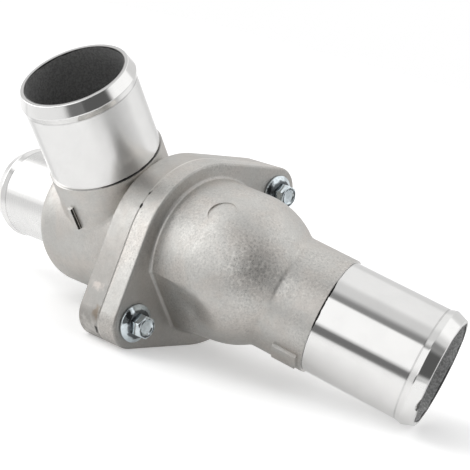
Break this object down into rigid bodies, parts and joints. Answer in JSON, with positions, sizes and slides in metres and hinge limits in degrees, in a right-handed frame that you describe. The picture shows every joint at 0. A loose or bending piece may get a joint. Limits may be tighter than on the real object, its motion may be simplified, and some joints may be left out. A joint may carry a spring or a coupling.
{
  "type": "thermostat housing",
  "caption": "Two-piece cast aluminium housing with three hose necks, a bolted oval flange and a wax thermostat that opens the way to the outlet and shuts the bypass.",
  "frame": {"origin": "middle of the bypass neck's mouth, on the valve's axis", "axes": "+X along the valve's axis towards the outlet, +Z square to the lower flat of the oval flange, pointing up as the housing lies"},
  "size_m": [0.2118, 0.1147, 0.1117],
  "materials": {
    "cast_metal": "fine blasted casting with bright turned necks",
    "bolt_steel": "zinc-plated steel",
    "ring_rubber": "moulded rubber",
    "plate_steel": "pressed stainless steel",
    "rod_steel": "ground stainless steel",
    "spring_steel": "drawn stainless wire",
    "capsule_brass": "plain drawn and turned brass",
    "wax": "wax filled with copper powder"
  },
  "bodies": {
    "housing": {"rear_body": "cast_metal", "outlet_cover": "cast_metal", "bolt_lower": "bolt_steel", "bolt_upper": "bolt_steel", "seal_ring": "ring_rubber", "seat_plate": "plate_steel", "bridge": "plate_steel", "cage": "plate_steel", "piston_rod": "rod_steel", "main_spring": "spring_steel"},
    "valve": {"main_valve": "plate_steel", "wax_capsule": "capsule_brass", "wax_pellet": "wax", "rubber_sleeve": "ring_rubber", "capsule_guide": "capsule_brass", "bypass_stem": "rod_steel", "stem_clip": "rod_steel", "bypass_spring": "spring_steel"},
    "bypass": {"bypass_valve": "plate_steel"},
    "pin": {"bleed_pin": "capsule_brass"}
  },
  "joints": [
    {"name": "valve_lift", "type": "slide", "parent": "housing", "child": "valve", "axis": [-1, 0, 0], "range_m": [0, 0.009], "stiffness_N_per_m": 4000, "springref_m": -0.015, "deforming": ["main_spring"]},
    {"name": "bypass_slide", "type": "slide", "parent": "valve", "child": "bypass", "axis": [1, 0, 0], "range_m": [0, 0.003], "stiffness_N_per_m": 800, "springref_m": -0.004, "deforming": ["bypass_spring"]},
    {"name": "bleed_pin_slide", "type": "slide", "parent": "housing", "child": "pin", "axis": [1, 0, 0], "range_m": [-0.001, 0.001]}
  ]
}
